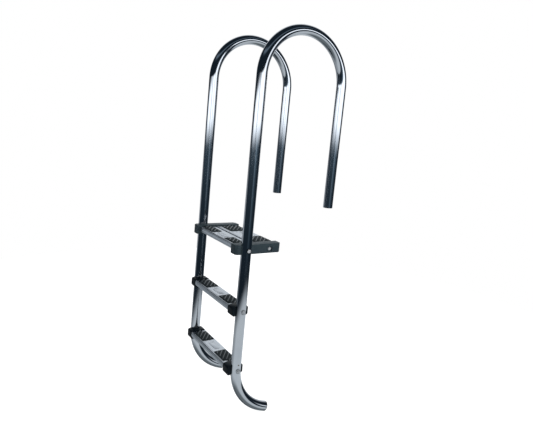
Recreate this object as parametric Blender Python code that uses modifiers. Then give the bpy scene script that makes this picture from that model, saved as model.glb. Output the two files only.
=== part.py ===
"""Pool ladder: two bent stainless rails, a double top tread, two single treads, moulded ends and bolts.

The frame: +X points from the water towards the pool wall and the deck, +Y is the left rail as a climber
sees it, +Z is up. The origin is at the bottom centre of the ladder's box.
"""

from math import cos, pi, radians, sin

import bmesh
import bpy

# Rails
TUBE_R = 0.0215
TUBE_WALL = 0.0015
RAIL_Y = 0.210  # each rail's axis lies this far from the middle plane
LOOP_R = 0.200  # bend radius of the hand loop, on the tube's axis
LOOP_TURN = 180.0
LOOP_CENTRE_Z = 1.443
DECK_END_Z = 0.919
FOOT_R = 0.228  # bend radius at the foot, on the tube's axis
FOOT_TURN = 70.0
FOOT_TIP = 0.012  # straight stretch at the foot's cut end
BEND_STEP = 11.25  # degrees of bend for each facet
TUBE_RESOLUTION = 6  # 16 sides
ROUND_SIDES = 16
HOLE_SIDES = 12
CORNER_STEP = 22.5  # degrees for each facet of a small round corner
SHARP = radians(30)  # edges sharper than this stay sharp in the shading

# Treads
TOP_Z = 0.768  # top of the brackets of the double tread
PITCH = 0.2576
TREAD_THICK = 0.002
TREAD_DROP = 0.006  # from a cap's top to the tread plate
TREAD_NOSE_R = 0.007
SKIRT_H = 0.022
REACH_FRONT = 0.038  # a single tread's reach in front of the tube's axis
REACH_REAR = 0.034
BRACKET_FRONT = 0.047  # the brackets' reach in front of the tube's axis
BRACKET_REAR = 0.168
FRONT_TREAD_INSET = 0.013  # from the brackets' front end to the front tread
REAR_TREAD_INSET = 0.006  # from the brackets' rear end to the rear tread
DOUBLE_SPLIT = 0.045  # where the two treads of the double level meet
SPLIT_GAP = 0.004

# Moulded ends
CAP_THICK = 0.045  # from the tube's axis plane inwards
CAP_SHORT = 0.0005  # the outer faces stop this far short of that plane
CAP_H = 0.042
BRACKET_H = 0.040
SPIGOT_L = 0.022
SPIGOT_INSET = 0.009  # from a tread's front and rear faces
SPIGOT_RISE = 0.002  # above the skirts' lower edges
SPIGOT_ROOT = 0.010  # how far a spigot runs into its moulding
CROWN = 0.003
CROWN_RUN = 0.016  # how far the crown's slope runs along a cap's top
CORNER_R = 0.012
CHAMFER = 0.010

# Pads
PAD_INNER_Y = 0.058
PAD_THICK = 0.003
PAD_FRONT_MARGIN = 0.010
SPLIT_FRONT_MARGIN = 0.022  # bare steel in front of the rear tread's pads
SPLIT_REAR_MARGIN = 0.020  # bare steel behind the front tread's pads
REAR_END_MARGIN = 0.006
PAD_TONGUE_L = 0.016
PAD_TONGUE_W = 0.022

# Fasteners
BOLT_R = 0.004
BOLT_HEAD_R = 0.0078
BOLT_HEAD_H = 0.0042
DOME_SPREAD = 0.55  # where the dome's slope breaks, as a share of the head's radius and height
DOME_RISE = 0.85
HEAD_RIM = 0.001
BOLT_SPARE = 0.002  # of shank past the nut
WASHER_R = 0.011
WASHER_H = 0.0015
NUT_R = 0.0075
NUT_H = 0.0065
POCKET_CLEAR = 0.002  # around a nut
WEB = 0.008  # the moulded wall between tube and nut
BOLT_DROP = 0.020
REAR_BOLT_X = 0.114  # from the tube's axis
REAR_BOLT_DROP = 0.023
RECESS_R = 0.011
RECESS_DEPTH = 0.006

PLUG_FLANGE = 0.003
PLUG_CLEAR = 0.0018  # around the plug's stem, which is straight in a bent tube
PLUG_L = 0.012
DRAIN_R = 0.0025
DRAIN_RISE = 0.027  # above the bottom bolt

GAP = 0.0003  # between touching pieces
CUT_SPARE = 0.010  # how far a cutter runs past what it cuts
WELD = 0.00005
OFF_RIDGE = radians(7)  # turns a cross hole so that its corners stay off the tube's ridges

POOL_X = (BRACKET_FRONT - 2 * LOOP_R - TUBE_R) / 2
DECK_X = POOL_X + 2 * LOOP_R
INNER_Y = RAIL_Y - CAP_THICK
FACE_Y = RAIL_Y - CAP_SHORT
NUT_FACE = RAIL_Y - TUBE_R - WEB - GAP
NUT = (NUT_FACE - NUT_H, NUT_H, NUT_R, 6)  # its place across, its height, radius and sides
FOOT_END_Z = TUBE_R * sin(radians(FOOT_TURN)) + (PLUG_FLANGE + GAP) * cos(radians(FOOT_TURN))
FOOT_TOP_Z = FOOT_END_Z + FOOT_R * sin(radians(FOOT_TURN)) + FOOT_TIP * cos(radians(FOOT_TURN))

SIDES = {"right": -1, "left": 1}
LEVELS = {"top": TOP_Z, "middle": TOP_Z - PITCH, "bottom": TOP_Z - 2 * PITCH}
SINGLES = ("middle", "bottom")

STEEL = ((0.62, 0.65, 0.68), 0.12, 1.0)
TREAD_STEEL = ((0.55, 0.58, 0.61), 0.30, 1.0)
BLACK = ((0.015, 0.018, 0.021), 0.45, 0.0)
PAD_BLACK = ((0.022, 0.026, 0.028), 0.60, 0.0)


def new_collection(name):
    collection = bpy.data.collections.new(name)
    bpy.context.scene.collection.children.link(collection)
    return collection


def clear_scene():
    for obj in list(bpy.data.objects):
        bpy.data.objects.remove(obj, do_unlink=True)


def give_material(obj, finish):
    colour, roughness, metallic = finish
    material = bpy.data.materials.new(obj.name)
    material.use_nodes = True
    shader = material.node_tree.nodes["Principled BSDF"]
    shader.inputs["Base Color"].default_value = (*colour, 1.0)
    shader.inputs["Roughness"].default_value = roughness
    shader.inputs["Metallic"].default_value = metallic
    obj.data.materials.clear()
    obj.data.materials.append(material)


def add_mesh(name, mesh, collection, finish=None):
    """Puts a mesh in the scene as a part, or as a cutter when it has no finish."""
    obj = bpy.data.objects.new(name, mesh)
    collection.objects.link(obj)
    if finish:
        mesh.shade_smooth()
        mesh.set_sharp_from_angle(angle=SHARP)
        give_material(obj, finish)
    else:
        obj.hide_render = True
        obj.display_type = "WIRE"
    return obj


def mesh_of_curve(curve_data):
    """The closed mesh of a curve, with its loose caps welded on."""
    curve = bpy.data.objects.new("curve", curve_data)
    bpy.context.scene.collection.objects.link(curve)
    bpy.context.view_layer.update()
    evaluated = curve.evaluated_get(bpy.context.evaluated_depsgraph_get())
    mesh = bpy.data.meshes.new_from_object(evaluated)
    bpy.data.objects.remove(curve, do_unlink=True)
    bpy.data.curves.remove(curve_data)
    work = bmesh.new()
    work.from_mesh(mesh)
    bmesh.ops.remove_doubles(work, verts=work.verts, dist=WELD)
    bmesh.ops.recalc_face_normals(work, faces=work.faces)
    work.to_mesh(mesh)
    work.free()
    return mesh


def tube_mesh(points, radius):
    curve = bpy.data.curves.new("tube", "CURVE")
    curve.dimensions = "3D"
    curve.bevel_depth = radius
    curve.bevel_resolution = TUBE_RESOLUTION
    curve.use_fill_caps = True
    spline = curve.splines.new("POLY")
    spline.points.add(len(points) - 1)
    for point, place in zip(spline.points, points):
        point.co = (*place, 1.0)
    return mesh_of_curve(curve)


def outline_mesh(points, thickness):
    """A flat outline in the curve's own XY plane, thickened evenly along Z."""
    curve = bpy.data.curves.new("outline", "CURVE")
    curve.dimensions = "2D"
    curve.fill_mode = "BOTH"
    curve.extrude = thickness / 2
    spline = curve.splines.new("POLY")
    spline.use_cyclic_u = True
    spline.points.add(len(points) - 1)
    for point, (x, y) in zip(spline.points, points):
        point.co = (x, y, 0.0, 1.0)
    return mesh_of_curve(curve)


def side_outline(name, points, y_low, y_high, collection, finish=None):
    """A solid whose outline is given in X and Z, and which runs from y_low to y_high."""
    obj = add_mesh(name, outline_mesh(points, y_high - y_low), collection, finish)
    obj.rotation_euler = (pi / 2, 0, 0)
    obj.location = (0, (y_low + y_high) / 2, 0)
    return obj


def plan_outline(name, points, z_low, z_high, collection, finish=None):
    """A solid whose outline is given in X and Y, and which runs from z_low to z_high."""
    obj = add_mesh(name, outline_mesh(points, z_high - z_low), collection, finish)
    obj.location = (0, 0, (z_low + z_high) / 2)
    return obj


def cylinder(name, centre, radius, length, axis, cutters, sides=HOLE_SIDES):
    """A round cutter along Y or Z."""
    work = bmesh.new()
    bmesh.ops.create_cone(
        work, cap_ends=True, segments=sides, radius1=radius, radius2=radius, depth=length
    )
    mesh = bpy.data.meshes.new(name)
    work.to_mesh(mesh)
    work.free()
    obj = add_mesh(name, mesh, cutters)
    obj.location = centre
    if axis == "Y":
        obj.rotation_euler = (pi / 2, OFF_RIDGE, 0)
    return obj


def boolean(obj, other, operation="DIFFERENCE"):
    modifier = obj.modifiers.new(other.name, "BOOLEAN")
    modifier.object = other
    modifier.operation = operation
    modifier.solver = "EXACT"


def arc(centre, radius, start, turn, step=BEND_STEP):
    """Points of an arc, in degrees from the first axis, both ends included."""
    count = max(1, round(abs(turn) / step))
    angles = [radians(start + turn * i / count) for i in range(count + 1)]
    return [(centre[0] + radius * cos(a), centre[1] + radius * sin(a)) for a in angles]


def rail_path(extra=0.0):
    """The tube's axis in X and Z, from the foot's end up over the loop to the deck leg's end."""
    foot = arc((POOL_X + FOOT_R, FOOT_TOP_Z), FOOT_R, 180 + FOOT_TURN, -FOOT_TURN)
    loop = arc((POOL_X + LOOP_R, LOOP_CENTRE_Z), LOOP_R, 180, -LOOP_TURN)
    x, z = foot[0]
    tip = FOOT_TIP + extra
    foot.insert(0, (x + tip * sin(radians(FOOT_TURN)), z - tip * cos(radians(FOOT_TURN))))
    path = foot + loop + [(DECK_X, DECK_END_Z - extra)]
    return [(x, 0.0, z) for x, z in path]


def make_rail(side, parts, cutters):
    sign = SIDES[side]
    rail = add_mesh(f"{side}_rail", tube_mesh(rail_path(), TUBE_R), parts, STEEL)
    rail.location.y = sign * RAIL_Y
    bore = add_mesh(f"{side}_bore", tube_mesh(rail_path(CUT_SPARE), TUBE_R - TUBE_WALL), cutters)
    bore.location.y = sign * RAIL_Y
    boolean(rail, bore)
    for level, z in LEVELS.items():
        centre = (POOL_X, sign * RAIL_Y, z - BOLT_DROP)
        through = 2 * (TUBE_R + CUT_SPARE)
        boolean(rail, cylinder(f"{side}_{level}_hole", centre, BOLT_R + GAP, through, "Y", cutters))
    drain_z = LEVELS["bottom"] - BOLT_DROP + DRAIN_RISE
    drain_at = (POOL_X, sign * (RAIL_Y + TUBE_R), drain_z)
    boolean(rail, cylinder(f"{side}_drain", drain_at, DRAIN_R, CUT_SPARE, "Y", cutters))


def make_foot_plug(side, parts):
    """A plug whose round flange covers the cut end and whose stem sits inside the tube."""
    turn = radians(FOOT_TURN)
    (x, _, z), stem_r = rail_path()[0], TUBE_R - TUBE_WALL - PLUG_CLEAR
    profile = [(0, PLUG_FLANGE + GAP), (TUBE_R, PLUG_FLANGE + GAP), (TUBE_R, GAP), (stem_r, GAP)]
    profile += [(stem_r, -PLUG_L), (0, -PLUG_L)]
    mesh = bpy.data.meshes.new("plug")
    mesh.from_pydata([(r, 0, h) for r, h in profile], [(i, i + 1) for i in range(len(profile) - 1)], [])
    plug = add_mesh(f"{side}_foot_plug", mesh, parts, BLACK)
    plug.location = (x, SIDES[side] * RAIL_Y, z)
    plug.rotation_euler = (0, pi - turn, 0)
    screw = plug.modifiers.new("turn", "SCREW")
    screw.steps = screw.render_steps = ROUND_SIDES
    screw.use_merge_vertices = True
    screw.merge_threshold = WELD


def tread_outline(front, rear, top):
    """The cross-section of a pressed channel: a plate with a round nose and two skirts."""
    nose = TREAD_NOSE_R
    low = top - SKIRT_H
    outer = [(front, low)] + arc((front + nose, top - nose), nose, 180, -90, CORNER_STEP)
    outer += arc((rear - nose, top - nose), nose, 90, -90, CORNER_STEP) + [(rear, low)]
    inner_r = nose - TREAD_THICK
    inner = [(rear - TREAD_THICK, low)]
    inner += arc((rear - nose, top - nose), inner_r, 0, 90, CORNER_STEP)
    inner += arc((front + nose, top - nose), inner_r, 90, 90, CORNER_STEP)
    return outer + inner + [(front + TREAD_THICK, low)]


def make_tread(name, front, rear, top, parts):
    half = INNER_Y - GAP
    side_outline(name, tread_outline(front, rear, top), -half, half, parts, TREAD_STEEL)


def make_pad(name, side, front, rear, top, parts):
    """A slab with a narrower tongue that meets the moulded end."""
    sign = SIDES[side]
    end = INNER_Y - GAP
    shoulder = end - PAD_TONGUE_L
    low, high = (front + rear - PAD_TONGUE_W) / 2, (front + rear + PAD_TONGUE_W) / 2
    outline = [(front, PAD_INNER_Y), (rear, PAD_INNER_Y), (rear, shoulder), (high, shoulder)]
    outline += [(high, end), (low, end), (low, shoulder), (front, shoulder)]
    outline = [(x, sign * y) for x, y in outline]
    plan_outline(name, outline, top + GAP, top + GAP + PAD_THICK, parts, PAD_BLACK)


def spigot(name, sign, front, rear, top, cutters):
    """The tongue of a moulded end that fills the channel of a tread."""
    space = TREAD_THICK + GAP
    x_low, x_high = front + SPIGOT_INSET, rear - SPIGOT_INSET
    z_low, z_high = top - SKIRT_H + SPIGOT_RISE, top - space
    outline = [(x_low, z_low), (x_low, z_high), (x_high, z_high), (x_high, z_low)]
    y_inner = INNER_Y - SPIGOT_L
    y_outer = INNER_Y + SPIGOT_ROOT
    low, high = sorted((sign * y_inner, sign * y_outer))
    return side_outline(name, outline, low, high, cutters)


def cut_for_bolt(end, side, level, x, z, cutters):
    """The bolt's hole through a moulded end, and the pocket that its nut sits in."""
    sign = SIDES[side]
    hole_at = (x, sign * RAIL_Y, z)
    through = 2 * (CAP_THICK + SPIGOT_L + CUT_SPARE)
    name = f"{end.name}_{level}"
    boolean(end, cylinder(f"{name}_bolt_hole", hole_at, BOLT_R + GAP, through, "Y", cutters))
    mouth = INNER_Y - SPIGOT_L - CUT_SPARE
    floor = RAIL_Y - TUBE_R - WEB
    pocket_at = (x, sign * (mouth + floor) / 2, z)
    pocket_r = NUT_R + POCKET_CLEAR
    pocket = cylinder(f"{name}_pocket", pocket_at, pocket_r, floor - mouth, "Y", cutters, ROUND_SIDES)
    boolean(end, pocket)


def cut_for_tube(end, side, cutters):
    """The saddle that fits the tube's inner side, which bends a little at the bottom tread."""
    saddle = add_mesh(f"{end.name}_saddle", tube_mesh(rail_path(CUT_SPARE), TUBE_R + GAP), cutters)
    saddle.location.y = SIDES[side] * RAIL_Y
    boolean(end, saddle)


def cap_outline(top):
    """A single tread's end cap: a low crown on top and round lower corners."""
    low = top - CAP_H
    left, right = POOL_X - REACH_FRONT, POOL_X + REACH_REAR
    points = arc((right - CORNER_R, low + CORNER_R), CORNER_R, 0, -90, CORNER_STEP)
    points += arc((left + CORNER_R, low + CORNER_R), CORNER_R, 270, -90, CORNER_STEP)
    points += [(left, top - CROWN), (left + CROWN_RUN, top)]
    return points + [(right - CROWN_RUN, top), (right, top - CROWN)]


def make_cap(side, level, parts, cutters):
    top = LEVELS[level]
    name = f"{level}_cap_{side}"
    sign = SIDES[side]
    low, high = sorted((sign * INNER_Y, sign * FACE_Y))
    cap = side_outline(name, cap_outline(top), low, high, parts, BLACK)
    tread_top = top - TREAD_DROP
    front, rear = POOL_X - REACH_FRONT, POOL_X + REACH_REAR
    boolean(cap, spigot(f"{name}_spigot", sign, front, rear, tread_top, cutters), "UNION")
    cut_for_tube(cap, side, cutters)
    cut_for_bolt(cap, side, level, POOL_X, top - BOLT_DROP, cutters)


def make_bracket(side, parts, cutters):
    sign = SIDES[side]
    name = f"top_bracket_{side}"
    front, rear = POOL_X - BRACKET_FRONT, POOL_X + BRACKET_REAR
    plan = [(front, INNER_Y), (front, FACE_Y - CHAMFER), (front + CHAMFER, FACE_Y)]
    plan += [(rear - CHAMFER, FACE_Y), (rear, FACE_Y - CHAMFER), (rear, INNER_Y)]
    plan = [(x, sign * y) for x, y in plan]
    bracket = plan_outline(name, plan, TOP_Z - BRACKET_H, TOP_Z, parts, BLACK)
    tread_top = TOP_Z - TREAD_DROP
    for which, (low, high) in double_treads().items():
        tongue = spigot(f"{name}_{which}_spigot", sign, low, high, tread_top, cutters)
        boolean(bracket, tongue, "UNION")
    cut_for_tube(bracket, side, cutters)
    cut_for_bolt(bracket, side, "front", POOL_X, TOP_Z - BOLT_DROP, cutters)
    rear_z = TOP_Z - REAR_BOLT_DROP
    cut_for_bolt(bracket, side, "rear", POOL_X + REAR_BOLT_X, rear_z, cutters)
    recess_at = (POOL_X + REAR_BOLT_X, sign * RAIL_Y, rear_z)
    depth = 2 * RECESS_DEPTH
    boolean(bracket, cylinder(f"{name}_recess", recess_at, RECESS_R, depth, "Y", cutters, ROUND_SIDES))


def double_treads():
    """The front and rear edges of the two treads at the top level."""
    split = POOL_X + DOUBLE_SPLIT
    return {
        "front": (POOL_X - BRACKET_FRONT + FRONT_TREAD_INSET, split - SPLIT_GAP / 2),
        "rear": (split + SPLIT_GAP / 2, POOL_X + BRACKET_REAR - REAR_TREAD_INSET),
    }


def bolt(name, x, sign, z, face, parts):
    """A bolt along Y: its head rests on the plane |y| = face, and its shank ends past its nut."""
    end = NUT_FACE - NUT_H - BOLT_SPARE
    profile = [(0, BOLT_HEAD_H), (BOLT_HEAD_R * DOME_SPREAD, BOLT_HEAD_H * DOME_RISE)]
    profile += [(BOLT_HEAD_R, HEAD_RIM)]
    profile += [(BOLT_HEAD_R, 0), (BOLT_R, 0), (BOLT_R, end - face), (0, end - face)]
    mesh = bpy.data.meshes.new(name)
    work = bmesh.new()
    points = [work.verts.new((radius, 0, height)) for radius, height in profile]
    edges = [work.edges.new(pair) for pair in zip(points, points[1:])]
    bmesh.ops.spin(
        work,
        geom=points + edges,
        axis=(0, 0, 1),
        cent=(0, 0, 0),
        angle=2 * pi,
        steps=HOLE_SIDES,
        use_merge=True,
    )
    bmesh.ops.remove_doubles(work, verts=work.verts, dist=WELD)
    bmesh.ops.recalc_face_normals(work, faces=work.faces)
    work.to_mesh(mesh)
    work.free()
    obj = add_mesh(name, mesh, parts, STEEL)
    obj.location = (x, sign * face, z)
    obj.rotation_euler = (-sign * pi / 2, 0, 0)


def ring(name, x, sign, z, y_inner, height, radius, sides, parts, finish):
    """A flat ring around a bolt, from y_inner outwards: a washer, or a nut when it has six sides."""
    outer = arc((0, 0), radius, 0, 360, 360 / sides)[:-1]
    hole = cylinder("ring_hole", (0, 0, 0), BOLT_R + GAP, height + CUT_SPARE, "Z", parts)
    piece = add_mesh(name, outline_mesh(outer, height), parts, finish)
    boolean(piece, hole)
    bpy.context.view_layer.update()
    evaluated = piece.evaluated_get(bpy.context.evaluated_depsgraph_get())
    mesh = bpy.data.meshes.new_from_object(evaluated)
    piece.modifiers.clear()
    piece.data = mesh
    bpy.data.objects.remove(hole, do_unlink=True)
    piece.rotation_euler = (pi / 2, 0, 0)
    piece.location = (x, sign * (y_inner + height / 2), z)


def make_fasteners(side, level, parts):
    """The bolt through rail and moulded end, the washer under its head and the nut inside."""
    sign = SIDES[side]
    z = LEVELS[level] - BOLT_DROP
    where = f"{level}_{side}"
    washer_face = RAIL_Y + TUBE_R + GAP
    head_face = washer_face + WASHER_H + GAP
    bolt(f"rail_bolt_{where}", POOL_X, sign, z, head_face, parts)
    washer = (washer_face, WASHER_H, WASHER_R, ROUND_SIDES)
    ring(f"rail_washer_{where}", POOL_X, sign, z, *washer, parts, BLACK if level == "top" else STEEL)
    ring(f"rail_nut_{where}", POOL_X, sign, z, *NUT, parts, STEEL)


def make_rear_fasteners(side, parts):
    """The second bolt of a bracket, sunk in a recess, and its nut."""
    sign = SIDES[side]
    x = POOL_X + REAR_BOLT_X
    z = TOP_Z - REAR_BOLT_DROP
    bolt(f"bracket_bolt_{side}", x, sign, z, RAIL_Y - RECESS_DEPTH + GAP, parts)
    ring(f"bracket_nut_{side}", x, sign, z, *NUT, parts, STEEL)


def make_single_level(level, parts, cutters):
    top = LEVELS[level] - TREAD_DROP
    front, rear = POOL_X - REACH_FRONT, POOL_X + REACH_REAR
    make_tread(f"{level}_tread", front, rear, top, parts)
    for side in SIDES:
        pad_front, pad_rear = front + PAD_FRONT_MARGIN, rear - REAR_END_MARGIN
        make_pad(f"{level}_pad_{side}", side, pad_front, pad_rear, top, parts)
        make_cap(side, level, parts, cutters)


def make_double_level(parts, cutters):
    top = TOP_Z - TREAD_DROP
    for which, (front, rear) in double_treads().items():
        make_tread(f"top_tread_{which}", front, rear, top, parts)
        pad_front = front + (PAD_FRONT_MARGIN if which == "front" else SPLIT_FRONT_MARGIN)
        pad_rear = rear - (SPLIT_REAR_MARGIN if which == "front" else REAR_END_MARGIN)
        for side in SIDES:
            make_pad(f"top_{which}_pad_{side}", side, pad_front, pad_rear, top, parts)
    for side in SIDES:
        make_bracket(side, parts, cutters)


def main():
    clear_scene()
    parts = new_collection("pool_ladder")
    cutters = new_collection("pool_ladder_cutters")
    for side in SIDES:
        make_rail(side, parts, cutters)
        make_foot_plug(side, parts)
    make_double_level(parts, cutters)
    for level in SINGLES:
        make_single_level(level, parts, cutters)
    for side in SIDES:
        make_rear_fasteners(side, parts)
        for level in LEVELS:
            make_fasteners(side, level, parts)


main()
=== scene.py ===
"""Looks of the pool ladder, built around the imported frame: smooth tubes, pressed treads, ribbed pads,
moulded ends, bolts, their materials, and a plain studio.
"""

from math import acos, cos, degrees, pi, radians, sin

import bmesh
import bpy
from mathutils import Matrix, Vector


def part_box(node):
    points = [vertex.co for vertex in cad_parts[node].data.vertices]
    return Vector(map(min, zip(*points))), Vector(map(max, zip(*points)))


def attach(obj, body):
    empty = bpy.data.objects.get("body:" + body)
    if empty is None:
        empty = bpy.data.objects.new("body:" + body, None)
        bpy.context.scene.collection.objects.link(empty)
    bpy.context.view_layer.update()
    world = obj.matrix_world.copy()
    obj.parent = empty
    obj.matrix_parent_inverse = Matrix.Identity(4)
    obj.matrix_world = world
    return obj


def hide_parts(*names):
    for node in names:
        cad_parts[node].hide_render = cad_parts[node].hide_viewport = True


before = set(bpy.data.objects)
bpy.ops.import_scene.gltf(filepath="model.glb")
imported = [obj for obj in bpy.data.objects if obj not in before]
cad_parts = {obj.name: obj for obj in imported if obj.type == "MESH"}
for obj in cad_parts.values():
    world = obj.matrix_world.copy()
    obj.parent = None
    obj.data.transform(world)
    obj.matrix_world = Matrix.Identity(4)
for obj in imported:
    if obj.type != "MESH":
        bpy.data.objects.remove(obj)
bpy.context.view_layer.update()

# ---------------------------------------------------------------- sizes

SIDES = {"right": -1, "left": 1}
SINGLES = ("middle", "bottom")

RAIL_LOW, RAIL_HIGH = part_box("right_rail")
TUBE_R = (RAIL_HIGH[1] - RAIL_LOW[1]) / 2
TUBE_WALL = 0.0015
RAIL_Y = -(RAIL_HIGH[1] + RAIL_LOW[1]) / 2
POOL_X = RAIL_LOW[0] + TUBE_R
DECK_X = RAIL_HIGH[0] - TUBE_R
LOOP_R = (DECK_X - POOL_X) / 2
LOOP_CENTRE_Z = RAIL_HIGH[2] - TUBE_R - LOOP_R
DECK_END_Z = 0.919
FOOT_R = 0.228
FOOT_TURN = radians(70)
FOOT_TIP = 0.012
PLUG_FACE = 0.0033  # the foot plug's face stands this far off the cut end
FINE_STEP = 2.5  # degrees of bend for each ring of the smooth tube
TUBE_RINGS = 14  # bevel resolution, 32 sides

GAP = 0.0003  # between touching pieces
PLUG_EDGE_R = 0.0012
PLUG_LIP = 0.003
PLUG_L = 0.012

BOLT_DROP = 0.020  # from a level's top to its bolt
HEAD_R = 0.0078
HEAD_H = 0.0042
DOME_FLATTER = 1.05  # than a dome that starts at the head's foot
DOME_SHARE = 0.85  # of the head's height, above a short upright edge
DOME_STEPS = 8
SHANK_R = 0.004
SOCKET_R = 0.0029
SOCKET_DEPTH = 0.0022
RECESS_R = 0.011
RECESS_DEPTH = 0.006
DRAIN_R = 0.0032
DRAIN_DEPTH = 0.003
DRAIN_RISE = 0.027  # above the bottom bolt

PANEL_HALF_L = 0.036
PANEL_HALF_W = 0.013
PANEL_CORNER_R = 0.004
PANEL_SUNK = 0.0005
PANEL_EDGE = 0.0004
PANEL_STEPS = (("outer", 0.0, 0.0007), ("inner", -0.0045, 0.0011))  # name, growth, height

RIB_ANGLE = radians(53)
RIB_PITCH = 0.0165
RIB_WIDTH = 0.0045
RIB_H = 0.0027
RIB_TAPER = 0.80  # a rib's top width, as a share of its foot's
RIB_INSET = 0.003  # from the pad's edges
RIB_SUNK = 0.0002
RIB_EDGE = 0.0006
PAD_BASE_H = 0.0016
PAD_EDGE = 0.0008
PAD_TONGUE_L = 0.016
PAD_TONGUE_W = 0.022
TONGUE_INSET = 0.002  # of the tongue's ribs from its sides
TONGUE_GAP = 0.001  # between the tongue's ribs and its end, and the other ribs

CAP_THICK = 0.045
MOULDING_EDGE = 0.0022
BRACKET_CHAMFER = 0.011
SADDLE_POINTS = 60  # of the rail's path: its foot, its leg and the start of its loop

FLOOR_R = 2.6
FLOOR_SINK = 0.0005

TREAD_PADS = {
    "top_tread_front": "top_front",
    "top_tread_rear": "top_rear",
    "middle_tread": "middle",
    "bottom_tread": "bottom",
}

CAMERA_AT = Vector((-1.13393, -1.81459, 1.23299))
CAMERA_AZIMUTH = radians(-37.0431)
CAMERA_ELEVATION = radians(8.2876)
CAMERA_ROLL = radians(6.0486)
LENS = 31.8191
SHIFT = (-0.070, -0.030)  # sideways and up, as a share of the width
STUDIO_TURN = radians(-32.2)  # the side that the camera stands on, seen from the ladder


# ---------------------------------------------------------------- mesh helpers


def link(name, mesh):
    obj = bpy.data.objects.new(name, mesh)
    bpy.context.scene.collection.objects.link(obj)
    return obj


def baked(obj):
    """Applies the object's modifiers and its own transform to its mesh."""
    bpy.context.view_layer.update()
    evaluated = obj.evaluated_get(bpy.context.evaluated_depsgraph_get())
    mesh = bpy.data.meshes.new_from_object(evaluated)
    mesh.transform(obj.matrix_world)
    if obj.matrix_world.determinant() < 0:
        mesh.flip_normals()
    name = obj.name
    bpy.data.objects.remove(obj, do_unlink=True)
    return link(name, mesh)


def smooth(obj, angle=35):
    obj.data.shade_smooth()
    obj.data.set_sharp_from_angle(angle=radians(angle))
    return obj


def bevel(obj, width, segments=3, angle=30):
    modifier = obj.modifiers.new("bevel", "BEVEL")
    modifier.width = width
    modifier.segments = segments
    modifier.limit_method = "ANGLE"
    modifier.angle_limit = radians(angle)
    modifier.use_clamp_overlap = True
    return obj


def weld(obj, distance=0.00002):
    work = bmesh.new()
    work.from_mesh(obj.data)
    bmesh.ops.remove_doubles(work, verts=work.verts, dist=distance)
    bmesh.ops.recalc_face_normals(work, faces=work.faces)
    work.to_mesh(obj.data)
    work.free()
    return obj


def cut(obj, cutter, operation="DIFFERENCE"):
    """Cuts or joins, applies it, and removes the cutter."""
    modifier = obj.modifiers.new("cut", "BOOLEAN")
    modifier.object = cutter
    modifier.operation = operation
    modifier.solver = "EXACT"
    obj = baked(obj)
    bpy.data.objects.remove(cutter, do_unlink=True)
    return weld(obj)


def arc(centre, radius, start, turn, step=7.5):
    """Points of an arc, in degrees from the first axis, both ends included."""
    count = max(1, round(abs(turn) / step))
    angles = [radians(start + turn * i / count) for i in range(count + 1)]
    return [(centre[0] + radius * cos(a), centre[1] + radius * sin(a)) for a in angles]


def prism(name, outline, low, high, up):
    """A closed outline pushed from low to high, along Y when up is "Y" and along Z when it is "Z"."""
    work = bmesh.new()
    place = (lambda a, b, c: (a, c, b)) if up == "Y" else (lambda a, b, c: (a, b, c))
    bottom = [work.verts.new(place(a, b, low)) for a, b in outline]
    work.faces.new(bottom)
    made = bmesh.ops.extrude_face_region(work, geom=list(work.faces))
    moved = [v for v in made["geom"] if isinstance(v, bmesh.types.BMVert)]
    shift = Vector(place(0, 0, high - low))
    bmesh.ops.translate(work, verts=moved, vec=shift)
    bmesh.ops.recalc_face_normals(work, faces=work.faces)
    mesh = bpy.data.meshes.new(name)
    work.to_mesh(mesh)
    work.free()
    return link(name, mesh)


def turned(name, profile, steps=32):
    """A profile of (radius, height) turned about Z."""
    work = bmesh.new()
    points = [work.verts.new((radius, 0, height)) for radius, height in profile]
    edges = [work.edges.new(pair) for pair in zip(points, points[1:])]
    bmesh.ops.spin(
        work, geom=points + edges, axis=(0, 0, 1), cent=(0, 0, 0), angle=2 * pi, steps=steps
    )
    bmesh.ops.remove_doubles(work, verts=work.verts, dist=0.00001)
    bmesh.ops.recalc_face_normals(work, faces=work.faces)
    mesh = bpy.data.meshes.new(name)
    work.to_mesh(mesh)
    work.free()
    return link(name, mesh)


def rod(name, centre, radius, length, along="Y", sides=48):
    """A closed cylinder about a line along Y or Z."""
    work = bmesh.new()
    bmesh.ops.create_cone(
        work, cap_ends=True, segments=sides, radius1=radius, radius2=radius, depth=length
    )
    if along == "Y":
        bmesh.ops.rotate(work, verts=work.verts, matrix=Matrix.Rotation(pi / 2, 3, "X"))
    bmesh.ops.translate(work, verts=work.verts, vec=centre)
    mesh = bpy.data.meshes.new(name)
    work.to_mesh(mesh)
    work.free()
    return link(name, mesh)


def tube(name, points, radius, caps=False):
    """A round tube along points, welded."""
    curve = bpy.data.curves.new(name, "CURVE")
    curve.dimensions = "3D"
    curve.bevel_depth = radius
    curve.bevel_resolution = TUBE_RINGS
    curve.use_fill_caps = caps
    spline = curve.splines.new("POLY")
    spline.points.add(len(points) - 1)
    for point, place in zip(spline.points, points):
        point.co = (*place, 1.0)
    holder = bpy.data.objects.new(name, curve)
    bpy.context.scene.collection.objects.link(holder)
    return weld(baked(holder))


# ---------------------------------------------------------------- materials


def node_material(name, colour, roughness, metallic=0.0):
    """A material with its shader, and the nodes and links to add detail to it."""
    material = bpy.data.materials.new(name)
    material.use_nodes = True
    nodes = material.node_tree.nodes
    shader = nodes["Principled BSDF"]
    shader.inputs["Base Color"].default_value = (*colour, 1)
    shader.inputs["Roughness"].default_value = roughness
    shader.inputs["Metallic"].default_value = metallic
    return material, nodes, material.node_tree.links, shader


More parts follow.
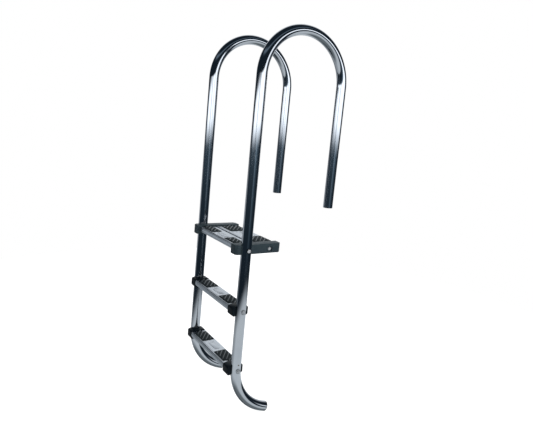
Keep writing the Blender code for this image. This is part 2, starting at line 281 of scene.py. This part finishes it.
def noise(nodes, links, scale, stretch=(1, 1, 1), detail=4.0, roughness=0.55):
    """Noise in the object's own space, stretched along its axes."""
    place = nodes.new("ShaderNodeTexCoord")
    mapping = nodes.new("ShaderNodeMapping")
    mapping.inputs["Scale"].default_value = stretch
    texture = nodes.new("ShaderNodeTexNoise")
    texture.inputs["Scale"].default_value = scale
    texture.inputs["Detail"].default_value = detail
    texture.inputs["Roughness"].default_value = roughness
    links.new(place.outputs["Object"], mapping.inputs["Vector"])
    links.new(mapping.outputs["Vector"], texture.inputs["Vector"])
    return texture.outputs["Fac"]


def spread(nodes, links, value, low, high, source=(0.3, 0.7)):
    """Maps a noise value to a range."""
    ranged = nodes.new("ShaderNodeMapRange")
    ranged.inputs["From Min"].default_value, ranged.inputs["From Max"].default_value = source
    ranged.inputs["To Min"].default_value, ranged.inputs["To Max"].default_value = low, high
    links.new(value, ranged.inputs["Value"])
    return ranged.outputs["Result"]


def tint(nodes, links, value, dark, light):
    """Mixes two colours by a value."""
    ramp = nodes.new("ShaderNodeValToRGB")
    ramp.color_ramp.elements[0].position, ramp.color_ramp.elements[1].position = 0.3, 0.7
    ramp.color_ramp.elements[0].color = (*dark, 1)
    ramp.color_ramp.elements[1].color = (*light, 1)
    links.new(value, ramp.inputs["Fac"])
    return ramp.outputs["Color"]


def bump(nodes, links, value, distance, strength, shader):
    made = nodes.new("ShaderNodeBump")
    made.inputs["Distance"].default_value = distance
    made.inputs["Strength"].default_value = strength
    links.new(value, made.inputs["Height"])
    links.new(made.outputs["Normal"], shader.inputs["Normal"])


def polished_steel():
    """Mirror-polished tube: long faint polishing lines and slight smears."""
    material, nodes, links, shader = node_material("polished_steel", (0.62, 0.64, 0.67), 0.05, 1.0)
    smears = noise(nodes, links, 22, (1, 1, 0.5), detail=6)
    links.new(spread(nodes, links, smears, 0.03, 0.085), shader.inputs["Roughness"])
    links.new(
        tint(nodes, links, smears, (0.59, 0.61, 0.645), (0.65, 0.67, 0.70)),
        shader.inputs["Base Color"],
    )
    lines = noise(nodes, links, 260, (1, 1, 0.06), detail=2)
    bump(nodes, links, lines, 0.000004, 0.10, shader)
    return material


def tread_steel():
    """Satin sheet with fine lines along the tread."""
    material, nodes, links, shader = node_material("tread_steel", (0.66, 0.69, 0.73), 0.3, 1.0)
    grain = noise(nodes, links, 420, (1, 0.02, 1), detail=3)
    links.new(spread(nodes, links, grain, 0.24, 0.36), shader.inputs["Roughness"])
    patches = noise(nodes, links, 26, detail=3)
    links.new(
        tint(nodes, links, patches, (0.60, 0.635, 0.675), (0.70, 0.73, 0.765)),
        shader.inputs["Base Color"],
    )
    bump(nodes, links, grain, 0.00005, 0.35, shader)
    return material


def bolt_steel(name, dark, light, metallic):
    """Turned steel with fine marks."""
    material, nodes, links, shader = node_material(name, dark, 0.35, metallic)
    marks = noise(nodes, links, 300, detail=3)
    links.new(spread(nodes, links, marks, 0.30, 0.42), shader.inputs["Roughness"])
    links.new(tint(nodes, links, marks, dark, light), shader.inputs["Base Color"])
    bump(nodes, links, marks, 0.00003, 0.3, shader)
    return material


def moulded(name, dark, light, roughness, grain_scale=900, depth=0.00006, specular=0.5):
    """Moulded plastic or rubber: a fine grain and slow changes of gloss."""
    material, nodes, links, shader = node_material(name, dark, roughness)
    shader.inputs["Specular IOR Level"].default_value = specular
    slow = noise(nodes, links, 35, detail=3)
    links.new(
        spread(nodes, links, slow, roughness - 0.06, roughness + 0.07), shader.inputs["Roughness"]
    )
    links.new(tint(nodes, links, slow, dark, light), shader.inputs["Base Color"])
    grain = noise(nodes, links, grain_scale, detail=2)
    bump(nodes, links, grain, depth, 0.4, shader)
    return material


def drain_painted_shade():
    """Painted shade for the inside of the drain hole: a dark colour with a slight random brownish stain.
    """
    material, nodes, links, shader = node_material("drain_shadow", (0.09, 0.075, 0.055), 0.6)
    stain = noise(nodes, links, 700, detail=2)
    links.new(
        tint(nodes, links, stain, (0.06, 0.05, 0.04), (0.17, 0.14, 0.10)),
        shader.inputs["Base Color"],
    )
    links.new(spread(nodes, links, stain, 0.5, 0.75), shader.inputs["Roughness"])
    return material


STEEL = polished_steel()
TREAD = tread_steel()
BOLT = bolt_steel("bolt_steel", (0.66, 0.66, 0.67), (0.76, 0.76, 0.77), 0.45)
SMALL_BOLT = bolt_steel("small_bolt_steel", (0.50, 0.52, 0.54), (0.60, 0.62, 0.64), 0.6)
WASHER = bolt_steel("washer_steel", (0.30, 0.32, 0.34), (0.40, 0.42, 0.44), 0.6)
PLASTIC = moulded("black_plastic", (0.003, 0.006, 0.009), (0.006, 0.010, 0.014), 0.34, specular=0.1)
BRACKET = moulded("bracket_plastic", (0.027, 0.042, 0.050), (0.037, 0.054, 0.063), 0.42, specular=0.2)
# The pad's rubber comes as two copies of one colour: the ribs lighter as painted light, and the slab with
# the grooves between the ribs darker as painted shade.
PAD_RUBBER_PAINTED_SHADE = moulded("pad_rubber", (0.011, 0.016, 0.018), (0.017, 0.024, 0.027), 0.75, 1300, 0.00008, 0.3)
RIB_RUBBER_PAINTED_LIGHT = moulded("pad_rib_rubber_painted_light", (0.06, 0.072, 0.078), (0.09, 0.104, 0.112), 0.34, 1300, 0.00005)
PLUG = moulded("plug_rubber", (0.012, 0.012, 0.013), (0.020, 0.020, 0.021), 0.6)
# The drain disc's colour is painted shade that stands in for the hole's dark inside.
DRAIN = drain_painted_shade()


def finish_piece(obj, material, slot, *nodes, second=None):
    """Gives a piece its finish, ties it to the ladder and hides the CAD nodes that it stands for."""
    obj.data.materials.clear()
    obj.data.materials.append(material)
    if second:
        obj.data.materials.append(second)
    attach(obj, "root")
    if nodes:
        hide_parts(*nodes)
    return obj


def coat(node, material):
    """Gives a CAD node that stays its finish."""
    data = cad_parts[node].data
    data.materials.clear()
    data.materials.append(material)


# ---------------------------------------------------------------- rails


def rail_path():
    """The tube's axis in X and Z, from the foot up over the hand loop to the deck leg's end."""
    foot_end_z = TUBE_R * sin(FOOT_TURN) + PLUG_FACE * cos(FOOT_TURN)
    foot_top_z = foot_end_z + FOOT_R * sin(FOOT_TURN) + FOOT_TIP * cos(FOOT_TURN)
    turn = degrees(FOOT_TURN)
    foot = arc((POOL_X + FOOT_R, foot_top_z), FOOT_R, 180 + turn, -turn, FINE_STEP)
    x, z = foot[0]
    foot.insert(0, (x + FOOT_TIP * sin(FOOT_TURN), z - FOOT_TIP * cos(FOOT_TURN)))
    loop = arc((POOL_X + LOOP_R, LOOP_CENTRE_Z), LOOP_R, 180, -180, FINE_STEP)
    return foot + loop + [(DECK_X, DECK_END_Z)]


def make_rail(side):
    """One smooth open tube with its wall."""
    y = SIDES[side] * RAIL_Y
    path = [(x, y, z) for x, z in rail_path()]
    rail = tube(f"{side}_rail_tube", path, TUBE_R)
    wall = rail.modifiers.new("wall", "SOLIDIFY")
    wall.thickness = TUBE_WALL
    wall.offset = -1
    rail = smooth(baked(rail), 50)
    finish_piece(rail, STEEL, "polished_tube", f"{side}_rail")


def make_foot_plug(side):
    """A rubber plug with a dished face, a rounded rim and a stem inside the tube."""
    x, z = rail_path()[0]
    rim, face = TUBE_R, PLUG_FACE
    stem = rim - PLUG_LIP - 0.0005
    profile = [(0, face), (rim - 1.5 * PLUG_LIP, face), (rim - PLUG_LIP, face - 0.0004)]
    profile += arc((rim - PLUG_EDGE_R, face - 0.0014), PLUG_EDGE_R, 90, -90, 22.5)
    profile += [(rim, GAP), (rim - PLUG_LIP, GAP), (stem, -PLUG_L), (0, -PLUG_L)]
    plug = turned(f"{side}_foot_cap", profile, 48)
    plug.rotation_euler = (0, pi - FOOT_TURN, 0)
    plug.location = (x, SIDES[side] * RAIL_Y, z)
    finish_piece(smooth(baked(plug)), PLUG, "plug_rubber", f"{side}_foot_plug")


# ---------------------------------------------------------------- treads


def tread_profile(front, rear, top, low):
    """A pressed channel seen from its end: convex skirt, nose bead, groove, plate and rear roll."""
    wall, roll, turn_in, turn_slope = 0.0018, 0.005, 0.0016, 0.0004
    bead_x, bead_drop, bead_r = 0.0046, 0.0032, 0.0038
    groove = top - 0.0007
    rear_low = low + 0.004
    outer = [(front + turn_in, low), (front + turn_slope, low + 0.003)]
    outer += [(front, low + 0.008), (front + 0.0002, top - 0.0072)]
    outer += [(front + 0.0012, top - 0.0064), (front + 0.0010, top - 0.0052)]
    outer += arc((front + bead_x, top - bead_drop), bead_r, 190, -120, 12)
    outer += [(front + 0.0066, top + 0.0001), (front + 0.0072, groove)]
    outer += [(front + 0.0082, groove), (front + 0.0090, top)]
    outer += arc((rear - roll, top - roll), roll, 90, -90, 12) + [(rear, rear_low)]
    inner = [(rear - wall, rear_low)]
    inner += arc((rear - roll, top - roll), roll - wall, 0, 90, 15)
    inner += [(front + 0.010, top - wall), (front + 0.004 + wall, top - 0.006)]
    inner += [(front + turn_slope + wall, top - 0.010), (front + turn_in + wall, low)]
    return outer + inner


def make_tread(node):
    """A pressed sheet along Y, as long as its CAD node."""
    low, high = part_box(node)
    profile = tread_profile(low[0], high[0], high[2], low[2])
    tread = prism(f"{node}_sheet", profile, low[1], high[1], "Y")
    finish_piece(smooth(tread, 28), TREAD, "tread_steel", node)


def make_panel(node, front, rear):
    """The plain raised rectangle pressed into the bare middle of a tread."""
    _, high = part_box(node)
    mid, r = (front + rear) / 2, PANEL_CORNER_R
    for step, grow, height in PANEL_STEPS:
        a, b = PANEL_HALF_W + grow - r, PANEL_HALF_L + grow - r
        outline = []
        for start, (x, y) in enumerate(((a, b), (-a, b), (-a, -b), (a, -b))):
            outline += arc((mid + x, y), r, 90 * start, 90, 22.5)
        plate = prism(f"{node}_{step}_panel", outline, high[2] - PANEL_SUNK, high[2] + height, "Z")
        plate = smooth(baked(bevel(plate, PANEL_EDGE, 2)))
        finish_piece(plate, TREAD, "tread_steel")


# ---------------------------------------------------------------- pads


def keep_inside(work, low, high):
    """Clips a mesh to a rectangle in X and Y, and closes the cuts."""
    planes = [
        ((low[0], 0, 0), (-1, 0, 0)),
        ((high[0], 0, 0), (1, 0, 0)),
        ((0, low[1], 0), (0, -1, 0)),
        ((0, high[1], 0), (0, 1, 0)),
    ]
    for point, normal in planes:
        geom = work.verts[:] + work.edges[:] + work.faces[:]
        if not geom:
            return
        bmesh.ops.bisect_plane(
            work, geom=geom, plane_co=point, plane_no=normal, clear_outer=True, dist=1e-6
        )
        rim = [e for e in work.edges if e.is_boundary]
        if rim:
            bmesh.ops.holes_fill(work, edges=rim)


def rib_mesh(whole, low, high, base_z):
    """Adds the diagonal ribs that cross a rectangle."""
    centre = Vector(((low[0] + high[0]) / 2, (low[1] + high[1]) / 2, 0))
    across = Vector((-sin(RIB_ANGLE), cos(RIB_ANGLE), 0))
    reach = ((high[0] - low[0]) + (high[1] - low[1])) / 2
    count = int(reach / RIB_PITCH) + 1
    for i in range(-count, count + 1):
        work = bmesh.new()
        bmesh.ops.create_cube(work, size=1.0)
        for vert in work.verts:
            taper = 1.0 if vert.co.z < 0 else RIB_TAPER
            vert.co = Vector(
                (vert.co.x * 3 * reach, vert.co.y * RIB_WIDTH * taper, (vert.co.z + 0.5) * RIB_H)
            )
        bmesh.ops.rotate(work, verts=work.verts, matrix=Matrix.Rotation(RIB_ANGLE, 3, "Z"))
        place = centre + across * (RIB_PITCH * i) + Vector((0, 0, base_z))
        bmesh.ops.translate(work, verts=work.verts, vec=place)
        keep_inside(work, low, high)
        if work.faces:
            piece = bpy.data.meshes.new("rib")
            work.to_mesh(piece)
            whole.from_mesh(piece)
            bpy.data.meshes.remove(piece)
        work.free()


def make_pad(node):
    """A rubber pad with diagonal ribs and a tongue that runs to the moulded end; its ribs are painted
    lighter than the grooves between them, as painted light and shade.
    """
    low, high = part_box(node)
    sign = 1 if high[1] > 0 else -1
    inner = min(abs(low[1]), abs(high[1]))
    end = max(abs(low[1]), abs(high[1]))
    shoulder = end - PAD_TONGUE_L
    front, rear, base = low[0], high[0], low[2]
    mid = (front + rear) / 2
    left, right = mid - PAD_TONGUE_W / 2, mid + PAD_TONGUE_W / 2
    outline = [(front, inner), (rear, inner), (rear, shoulder), (right, shoulder), (right, end)]
    outline += [(left, end), (left, shoulder), (front, shoulder)]
    outline = [(x, sign * y) for x, y in outline]
    slab = prism(f"{node}_ribbed", outline, base, base + PAD_BASE_H, "Z")
    slab = baked(bevel(slab, PAD_EDGE, 2))
    plain_faces = len(slab.data.polygons)
    work = bmesh.new()
    rib_base = base + PAD_BASE_H - RIB_SUNK
    y_low, y_high = sorted((sign * (inner + RIB_INSET), sign * (shoulder - RIB_INSET)))
    rib_mesh(work, (front + RIB_INSET, y_low), (rear - RIB_INSET, y_high), rib_base)
    start = shoulder - RIB_INSET + TONGUE_GAP
    y_low, y_high = sorted((sign * start, sign * (end - TONGUE_GAP)))
    rib_mesh(work, (left + TONGUE_INSET, y_low), (right - TONGUE_INSET, y_high), rib_base)
    mesh = bpy.data.meshes.new("ribs")
    work.to_mesh(mesh)
    work.free()
    ribs = baked(bevel(link("ribs", mesh), RIB_EDGE, 2))
    work = bmesh.new()
    work.from_mesh(slab.data)
    work.from_mesh(ribs.data)
    work.to_mesh(slab.data)
    work.free()
    bpy.data.objects.remove(ribs, do_unlink=True)
    finish_piece(smooth(slab), PAD_RUBBER_PAINTED_SHADE, "pad_rubber", node, second=RIB_RUBBER_PAINTED_LIGHT)
    # The ribs take the lighter rubber: painted light on the ribs against painted shade in the grooves.
    for face in slab.data.polygons[plain_faces:]:
        face.material_index = 1


# ---------------------------------------------------------------- moulded ends


def saddle_cutter(sign):
    """A smooth tube a hair larger than the rail, to cut the saddle."""
    path = [(x, sign * RAIL_Y, z) for x, z in rail_path()]
    return tube("saddle", path[:SADDLE_POINTS], TUBE_R + GAP, caps=True)


def cap_outline(front, rear, top, low):
    """A single tread's end, seen along Y: a crowned top edge and round lower corners."""
    r_low, r_top, crown = 0.008, 0.007, 0.0035
    mid = (front + rear) / 2
    half = (rear - front) / 2
    points = arc((rear - r_low, low + r_low), r_low, 0, -90)
    points += arc((front + r_low, low + r_low), r_low, 270, -90)
    points += arc((front + r_top, top - crown - r_top), r_top, 180, -65)
    crown_points = 9
    for i in range(crown_points):
        s = -1 + 2 * (i + 1) / (crown_points + 1)
        points.append((mid + s * (half - r_top * 0.6), top - crown * s * s))
    points += arc((rear - r_top, top - crown - r_top), r_top, 65, -65)
    return points


def make_cap(side, level):
    """A single tread's moulded end, with its saddle."""
    node = f"{level}_cap_{side}"
    low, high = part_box(node)
    sign = SIDES[side]
    inner = RAIL_Y - CAP_THICK
    y_low, y_high = sorted((sign * inner, sign * RAIL_Y))
    outline = cap_outline(low[0], high[0], high[2], low[2])
    cap = prism(f"{node}_moulding", outline, y_low, y_high, "Y")
    cap = baked(bevel(cap, MOULDING_EDGE, 3, 40))
    cap = cut(weld(cap), saddle_cutter(sign))
    finish_piece(smooth(cap), PLASTIC, "moulded_black", node)


def make_bracket(side):
    """The long moulded end of the double tread, with its saddle and the rear bolt's recess."""
    node = f"top_bracket_{side}"
    low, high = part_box(node)
    sign = SIDES[side]
    inner = RAIL_Y - CAP_THICK
    front, rear = low[0], high[0]
    shoulder = RAIL_Y - BRACKET_CHAMFER
    plan = [(front, inner), (front, shoulder), (front + BRACKET_CHAMFER, RAIL_Y)]
    plan += [(rear - BRACKET_CHAMFER, RAIL_Y), (rear, shoulder), (rear, inner)]
    plan = [(x, sign * y) for x, y in plan]
    bracket = prism(f"{node}_moulding", plan, low[2], high[2], "Z")
    bracket = baked(bevel(bracket, MOULDING_EDGE, 3, 20))
    bracket = cut(weld(bracket), saddle_cutter(sign))
    bolt_low, bolt_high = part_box(f"bracket_bolt_{side}")
    x, z = (bolt_low[0] + bolt_high[0]) / 2, (bolt_low[2] + bolt_high[2]) / 2
    bracket = cut(bracket, rod("recess", (x, sign * RAIL_Y, z), RECESS_R, 2 * RECESS_DEPTH))
    finish_piece(smooth(bracket), BRACKET, "moulded_black", node)


# ---------------------------------------------------------------- fasteners


def make_bolt(node, material):
    """A low domed head with a six-sided socket, on a shank."""
    low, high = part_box(node)
    sign = 1 if high[1] > 0 else -1
    centre = ((low[0] + high[0]) / 2, (low[2] + high[2]) / 2)
    face = max(abs(low[1]), abs(high[1])) - HEAD_H
    end = min(abs(low[1]), abs(high[1]))
    dome_r = (HEAD_R**2 + HEAD_H**2) / (2 * HEAD_H) * DOME_FLATTER
    rise = acos(1 - HEAD_H * DOME_SHARE / dome_r)
    angles = [rise * i / DOME_STEPS for i in range(DOME_STEPS + 1)]
    dome = [(dome_r * sin(a), HEAD_H - dome_r * (1 - cos(a))) for a in angles]
    profile = dome + [(dome[-1][0], 0), (SHANK_R, 0), (SHANK_R, end - face), (0, end - face)]
    bolt = turned(f"{node}_domed", profile, 40)
    bolt = cut(bolt, rod("socket", (0, 0, HEAD_H), SOCKET_R, 2 * SOCKET_DEPTH, "Z", 6))
    bolt.rotation_euler = (-sign * pi / 2, 0, 0)
    bolt.location = (centre[0], sign * face, centre[1])
    finish_piece(smooth(baked(bolt)), material, "fastener_steel", node)


def make_drain(side):
    """The small drain hole above the lowest bolt, shown as a disc of painted shade just proud of the tube
    rather than as a real hole.
    """
    sign = SIDES[side]
    _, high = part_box("bottom_cap_right")
    z = high[2] - BOLT_DROP + DRAIN_RISE
    profile = [(0, 0.0002), (DRAIN_R * 0.8, 0.0003), (DRAIN_R, 0)]
    profile += [(DRAIN_R, -DRAIN_DEPTH), (0, -DRAIN_DEPTH)]
    disc = turned(f"drain_hole_{side}", profile, 24)
    disc.rotation_euler = (-sign * pi / 2, 0, 0)
    disc.location = (POOL_X, sign * (RAIL_Y + TUBE_R), z)
    # The disc carries painted shade in place of the drain hole's inside.
    finish_piece(smooth(baked(disc)), DRAIN, "washer_black")


# ---------------------------------------------------------------- studio


def make_camera():
    """The camera looks down a little and is rolled by a few degrees."""
    az, el, roll = CAMERA_AZIMUTH, CAMERA_ELEVATION, CAMERA_ROLL
    ahead = Vector((-sin(az) * cos(el), cos(az) * cos(el), -sin(el)))
    level = Vector((cos(az), sin(az), 0))
    upright = level.cross(ahead)
    right = cos(roll) * level + sin(roll) * upright
    top = cos(roll) * upright - sin(roll) * level
    data = bpy.data.cameras.new("camera")
    data.lens = LENS
    data.sensor_width = 36
    data.clip_start = 0.05
    data.shift_x, data.shift_y = SHIFT
    camera = bpy.data.objects.new("camera", data)
    bpy.context.scene.collection.objects.link(camera)
    camera.matrix_world = Matrix((right, top, -ahead)).transposed().to_4x4()
    camera.location = CAMERA_AT
    bpy.context.scene.camera = camera


class Studio:
    """The world's light as a sum of patches, placed in degrees around and above the ladder."""

    def __init__(self, nodes, links, turn):
        self.nodes, self.links = nodes, links
        place = nodes.new("ShaderNodeTexCoord").outputs["Generated"]
        self.across = self.dot(place, (cos(turn), sin(turn), 0))
        toward = self.dot(place, (sin(turn), -cos(turn), 0))
        up = self.dot(place, (0, 0, 1))
        self.around = self.calc("DEGREES", self.calc("ARCTAN2", self.across, toward))
        self.height = self.calc("DEGREES", self.calc("ARCSINE", up))
        self.total = None

    def calc(self, operation, *values):
        """A Math node on sockets and numbers."""
        node = self.nodes.new("ShaderNodeMath")
        node.operation = operation
        for socket, value in zip(node.inputs, values):
            if isinstance(value, (int, float)):
                socket.default_value = value
            else:
                self.links.new(value, socket)
        return node.outputs[0]

    def dot(self, place, axis):
        node = self.nodes.new("ShaderNodeVectorMath")
        node.operation = "DOT_PRODUCT"
        node.inputs[1].default_value = axis
        self.links.new(place, node.inputs[0])
        return node.outputs["Value"]

    def step(self, value, start, end):
        """0 at start, 1 at end, smooth in between."""
        ranged = self.nodes.new("ShaderNodeMapRange")
        ranged.interpolation_type = "SMOOTHSTEP"
        ranged.inputs["From Min"].default_value, ranged.inputs["From Max"].default_value = start, end
        self.links.new(value, ranged.inputs["Value"])
        return ranged.outputs["Result"]

    def bell(self, value, centre, width):
        """1 at centre, falling off on both sides."""
        scaled = self.calc("DIVIDE", self.calc("SUBTRACT", value, centre), width)
        return self.calc("EXPONENT", self.calc("MULTIPLY", self.calc("POWER", scaled, 2), -1))

    def product(self, *values):
        whole = values[0]
        for value in values[1:]:
            whole = self.calc("MULTIPLY", whole, value)
        return whole

    def add(self, colour, amount=1.0):
        """Adds a patch of light of this colour."""
        patch = self.nodes.new("ShaderNodeVectorMath")
        patch.operation = "SCALE"
        patch.inputs[0].default_value = colour
        if isinstance(amount, float):
            patch.inputs["Scale"].default_value = amount
        else:
            self.links.new(amount, patch.inputs["Scale"])
        if self.total is None:
            self.total = patch.outputs["Vector"]
            return
        joined = self.nodes.new("ShaderNodeVectorMath")
        self.links.new(self.total, joined.inputs[0])
        self.links.new(patch.outputs["Vector"], joined.inputs[1])
        self.total = joined.outputs["Vector"]


def light_window(studio, front):
    """A long window whose upper edge slants a little, with one darker upright bar."""
    slant = studio.calc("MULTIPLY", studio.around, -0.037)
    upper = studio.step(studio.calc("ADD", studio.height, slant), 9.4, 5.6)
    window = studio.product(front, studio.step(studio.height, -2.4, 1.7), upper)
    bar = studio.product(studio.bell(studio.around, -13, 7.0), 0.6)
    studio.add((1.75, 1.85, 1.95), studio.product(window, studio.calc("SUBTRACT", 1.0, bar)))


def light_dark_side(studio, front):
    """The faint light just below the window, and a fainter upright streak."""
    below = studio.step(studio.height, 1.2, -2.0)
    fade = studio.calc("EXPONENT", studio.calc("DIVIDE", studio.height, 5.0))
    studio.add((0.22, 0.30, 0.36), studio.product(below, fade, studio.bell(studio.around, 25, 9)))
    studio.add((0.055, 0.085, 0.110), studio.product(below, fade, front))
    streak = studio.product(studio.step(studio.height, -18, -11), below)
    studio.add((0.030, 0.045, 0.058), studio.product(streak, studio.bell(studio.around, 38, 16)))


def light_floor(studio):
    """The pale floor, which starts lower on the left, and is dimmer there and close to the ladder."""
    edge = studio.calc("ADD", studio.height, studio.calc("MULTIPLY", studio.across, -2.1))
    lit = studio.calc("ADD", studio.product(studio.step(studio.around, -100, -40), 0.45), 0.55)
    floor = studio.product(studio.step(edge, -19.5, -23.5), lit)
    studio.add((0.16, 0.18, 0.185), floor)
    near_floor = studio.product(floor, studio.step(studio.height, -60, -38))
    studio.add((0.44, 0.465, 0.49), near_floor)


def light_studio(studio):
    """A dark room with a long bright window at eye level, a pale floor and a white wall behind."""
    side = studio.calc("ABSOLUTE", studio.around)
    front, behind = studio.step(side, 100, 62), studio.step(side, 128, 166)
    studio.add((0.010, 0.017, 0.025))
    light_window(studio, front)
    light_dark_side(studio, front)
    light_floor(studio)
    wall = studio.product(behind, studio.step(studio.height, -21, -15), studio.step(studio.height, 66, 45))
    studio.add((0.72, 0.75, 0.78), wall)
    left_card = studio.product(studio.bell(studio.around, -117, 15), studio.bell(studio.height, -12, 8.5))
    studio.add((0.50, 0.54, 0.58), left_card)
    rail_light = studio.product(studio.bell(studio.height, 42, 5.0), front)
    studio.add((0.13, 0.17, 0.21), rail_light)


def make_world():
    """White behind the ladder, and a studio of light and dark zones for the polished steel to mirror."""
    world = bpy.data.worlds.new("studio")
    bpy.context.scene.world = world
    world.use_nodes = True
    nodes, links = world.node_tree.nodes, world.node_tree.links
    nodes.clear()
    studio = Studio(nodes, links, STUDIO_TURN)
    light_studio(studio)
    seen = nodes.new("ShaderNodeLightPath")
    shown = nodes.new("ShaderNodeMix")
    shown.data_type = "RGBA"
    shown.inputs["B"].default_value = (1, 1, 1, 1)
    links.new(seen.outputs["Is Camera Ray"], shown.inputs["Factor"])
    links.new(studio.total, shown.inputs["A"])
    background = nodes.new("ShaderNodeBackground")
    links.new(shown.outputs["Result"], background.inputs["Color"])
    output = nodes.new("ShaderNodeOutputWorld")
    links.new(background.outputs["Background"], output.inputs["Surface"])


def make_floor():
    """A plain pale disc that the steel doesn't mirror."""
    material, _, _, shader = node_material("floor_white", (0.5, 0.5, 0.5), 0.9)
    shader.inputs["Specular IOR Level"].default_value = 0.0
    shader.inputs["Emission Color"].default_value = (1, 1, 1, 1)
    shader.inputs["Emission Strength"].default_value = 0.85
    work = bmesh.new()
    bmesh.ops.create_circle(work, cap_ends=True, radius=FLOOR_R, segments=96)
    mesh = bpy.data.meshes.new("floor")
    work.to_mesh(mesh)
    work.free()
    floor = link("floor", mesh)
    floor.location.z = -FLOOR_SINK
    mesh.materials.append(material)
    floor.visible_glossy = False
    floor.visible_diffuse = False


def make_light(name, energy, spread_angle, turn):
    """A soft lamp that lights the floor and the plastics, and that the steel doesn't mirror."""
    data = bpy.data.lights.new(name, "SUN")
    data.energy = energy
    data.angle = radians(spread_angle)
    light = bpy.data.objects.new(name, data)
    light.rotation_euler = [radians(a) for a in turn]
    light.visible_glossy = False
    bpy.context.scene.collection.objects.link(light)


# ---------------------------------------------------------------- build


def make_side(side):
    """One rail with its plug, mouldings, pads and fasteners."""
    make_rail(side)
    make_foot_plug(side)
    make_bracket(side)
    make_drain(side)
    make_bolt(f"bracket_bolt_{side}", BOLT)
    coat(f"bracket_nut_{side}", BOLT)
    for level in SINGLES:
        make_cap(side, level)
    for level in ("top", *SINGLES):
        make_bolt(f"rail_bolt_{level}_{side}", BOLT if level == "top" else SMALL_BOLT)
        coat(f"rail_nut_{level}_{side}", BOLT)
        coat(f"rail_washer_{level}_{side}", PLASTIC if level == "top" else WASHER)
    for pad in TREAD_PADS.values():
        make_pad(f"{pad}_pad_{side}")


def main():
    bpy.context.scene.view_settings.view_transform = "Standard"
    make_camera()
    make_world()
    make_floor()
    make_light("overhead", 1.9, 110, (12, -10, 0))
    make_light("front", 1.2, 60, (70, 0, 25))
    for side in SIDES:
        make_side(side)
    for tread, pad in TREAD_PADS.items():
        make_tread(tread)
        pad_low, pad_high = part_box(f"{pad}_pad_left")
        make_panel(tread, pad_low[0], pad_high[0])


main()
